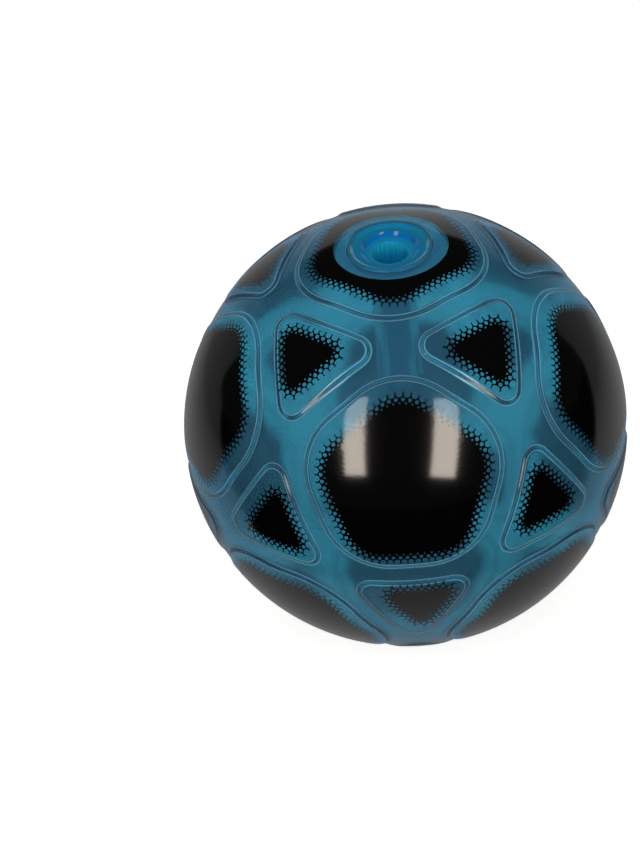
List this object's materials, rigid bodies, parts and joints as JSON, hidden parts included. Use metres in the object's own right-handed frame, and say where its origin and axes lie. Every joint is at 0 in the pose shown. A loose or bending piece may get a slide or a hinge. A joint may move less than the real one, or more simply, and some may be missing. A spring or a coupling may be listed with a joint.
{
  "type": "light-up soccer ball",
  "caption": "Light-up soccer ball: see-through moulded shell with raised rounded panels, an open ribbed port, and a battery light capsule with screw cap and push button.",
  "frame": {"origin": "centre of the ball", "axes": "+Z out through the port, -Y through the large panel below the port that the picture shows from the front"},
  "size_m": [0.2184, 0.2198, 0.2178],
  "materials": {
    "shell_pvc": "gloss",
    "well_pvc": "gloss",
    "valve_rubber": "matte",
    "capsule_clear": "gloss",
    "cap_abs": "satin",
    "seal_rubber": "satin",
    "button_rubber": "satin",
    "dark_abs": "matte",
    "cell_steel": "satin",
    "contact_brass": "satin",
    "circuit_board": "satin",
    "led_epoxy": "gloss"
  },
  "bodies": {
    "ball": {"ball_shell": "shell_pvc", "port_well": "well_pvc", "valve_seat": "valve_rubber", "valve_core": "valve_rubber"},
    "capsule": {"capsule_body": "capsule_clear", "switch_board": "circuit_board", "tact_switch": "dark_abs", "contact_plate": "contact_brass", "battery_1": "cell_steel", "battery_2": "cell_steel", "battery_3": "cell_steel", "battery_sleeve": "dark_abs", "contact_spring": "contact_brass", "bus_strip_1": "contact_brass", "bus_strip_2": "contact_brass", "led_board": "circuit_board", "led_1": "led_epoxy", "led_2": "led_epoxy", "led_3": "led_epoxy", "controller_chip": "dark_abs", "sensor_case": "contact_brass", "sensor_spring": "contact_brass", "sensor_pin": "contact_brass"},
    "seal": {"cap_seal": "seal_rubber"},
    "cap": {"capsule_cap": "cap_abs"},
    "button": {"power_button": "button_rubber"},
    "plunger": {"switch_plunger": "dark_abs"}
  },
  "joints": [
    {"name": "capsule_lift", "type": "slide", "parent": "ball", "child": "capsule", "axis": [0, 0, 1], "range_m": [0, 0.077]},
    {"name": "cap_lift", "type": "slide", "parent": "capsule", "child": "seal", "axis": [0, 0, 1], "range_m": [0, 0.004]},
    {"name": "cap_turn", "type": "hinge", "parent": "seal", "child": "cap", "pos_m": [0, 0, 0.0765], "axis": [0, 0, 1], "range_deg": [0, 360]},
    {"name": "button_press", "type": "slide", "parent": "cap", "child": "button", "axis": [0, 0, -1], "range_m": [0, 0.0006], "stiffness_N_per_m": 500},
    {"name": "switch_press", "type": "slide", "parent": "capsule", "child": "plunger", "axis": [0, 0, -1], "range_m": [0, 0.0006]}
  ],
  "couplings": [
    {"joint": "cap_turn", "follows": "cap_lift", "rad_per_m": 1570.8},
    {"joint": "switch_press", "follows": "button_press", "ratio": 1}
  ]
}
